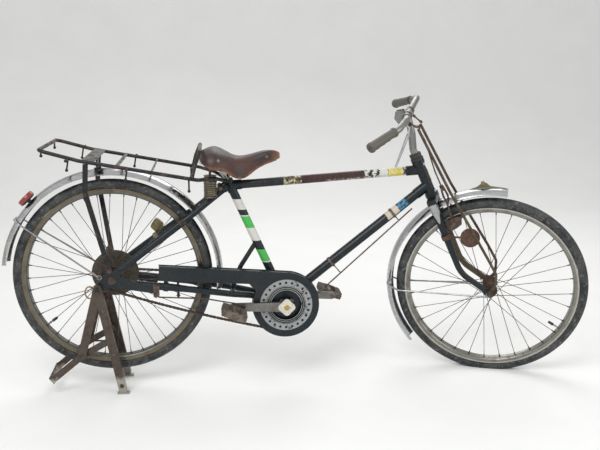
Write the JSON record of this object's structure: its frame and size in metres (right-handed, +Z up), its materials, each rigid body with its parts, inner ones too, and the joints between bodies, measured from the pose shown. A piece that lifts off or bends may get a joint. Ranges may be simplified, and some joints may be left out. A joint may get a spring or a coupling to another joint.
{
  "type": "roadster bicycle",
  "caption": "Old heavy roadster bicycle on its rear stand, with chain case, leather saddle, rear carrier, rod brakes and mudguards.",
  "frame": {"origin": "on the floor, under the middle of the whole box", "axes": "+X forward, +Y to the rider's left, +Z up"},
  "size_m": [1.9762, 0.6302, 0.9801],
  "materials": {
    "frame_paint": "gloss",
    "case_paint": "gloss",
    "carrier_paint": "satin",
    "chrome": "polished",
    "dull_steel": "satin",
    "rusty_steel": "matt",
    "chain_steel": "matt",
    "tyre": "matt",
    "rubber": "matt",
    "grip": "matt",
    "leather": "satin",
    "reflector": "gloss",
    "lock_brass": "satin"
  },
  "bodies": {
    "frame": {"head_tube": "frame_paint", "top_tube": "frame_paint", "down_tube": "frame_paint", "bottom_bracket_shell": "frame_paint", "seat_tube": "frame_paint", "seat_stays": "frame_paint", "chain_stays": "frame_paint", "frame_brace": "frame_paint", "dropouts": "frame_paint", "seat_post": "dull_steel", "saddle_leather": "leather", "saddle_frame": "rusty_steel", "saddle_springs": "dull_steel", "rear_mudguard": "chrome", "rear_guard_stays": "chrome", "tail_reflector": "reflector", "carrier_frame": "carrier_paint", "carrier_legs": "carrier_paint", "carrier_hoop": "carrier_paint", "chain": "chain_steel", "chain_case": "case_paint", "rear_brake_plate": "rusty_steel", "brake_rods": "rusty_steel", "box_lock": "lock_brass", "rear_axle": "dull_steel"},
    "steering": {"fork": "frame_paint", "headset": "dull_steel", "handlebar": "chrome", "grips": "grip", "fork_stays": "rusty_steel", "front_mudguard": "chrome", "front_guard_stay": "chrome", "front_brake": "rusty_steel", "brake_lever": "chrome", "bar_clamps": "rusty_steel", "side_reflector": "rusty_steel", "lamp_bracket": "dull_steel", "front_axle": "dull_steel"},
    "front_wheel": {"front_tyre": "tyre", "front_rim": "dull_steel", "front_hub": "rusty_steel"},
    "rear_wheel": {"rear_tyre": "tyre", "rear_rim": "dull_steel", "rear_hub": "rusty_steel"},
    "crank": {"crankset": "dull_steel", "chainwheel": "dull_steel"},
    "right_pedal": {"pedal_right": "rubber"},
    "left_pedal": {"pedal_left": "rubber"},
    "stand": {"stand": "rusty_steel"}
  },
  "joints": [
    {"name": "steering_turn", "type": "hinge", "parent": "frame", "child": "steering", "pos_m": [0.46, -0.016, 0.65], "axis": [-0.4067, 0, 0.9135], "range_deg": [-23.8, 66.2]},
    {"name": "front_wheel_spin", "type": "hinge", "parent": "steering", "child": "front_wheel", "pos_m": [0.67776, -0.0408, 0.31811], "axis": [0.3304, 0.9323, 0.1471], "continuous": true},
    {"name": "rear_wheel_spin", "type": "hinge", "parent": "frame", "child": "rear_wheel", "pos_m": [-0.624, -0.016, 0.391], "axis": [0, 1, 0], "continuous": true},
    {"name": "crank_spin", "type": "hinge", "parent": "frame", "child": "crank", "pos_m": [-0.049, -0.016, 0.287], "axis": [0, 1, 0], "continuous": true},
    {"name": "right_pedal_spin", "type": "hinge", "parent": "crank", "child": "right_pedal", "pos_m": [-0.227, -0.154, 0.291], "axis": [0, 1, 0], "continuous": true},
    {"name": "left_pedal_spin", "type": "hinge", "parent": "crank", "child": "left_pedal", "pos_m": [0.128, 0.122, 0.272], "axis": [0, 1, 0], "continuous": true},
    {"name": "stand_fold", "type": "hinge", "parent": "frame", "child": "stand", "pos_m": [-0.671, -0.016, 0.368], "axis": [0, 1, 0], "range_deg": [0, 90]}
  ]
}
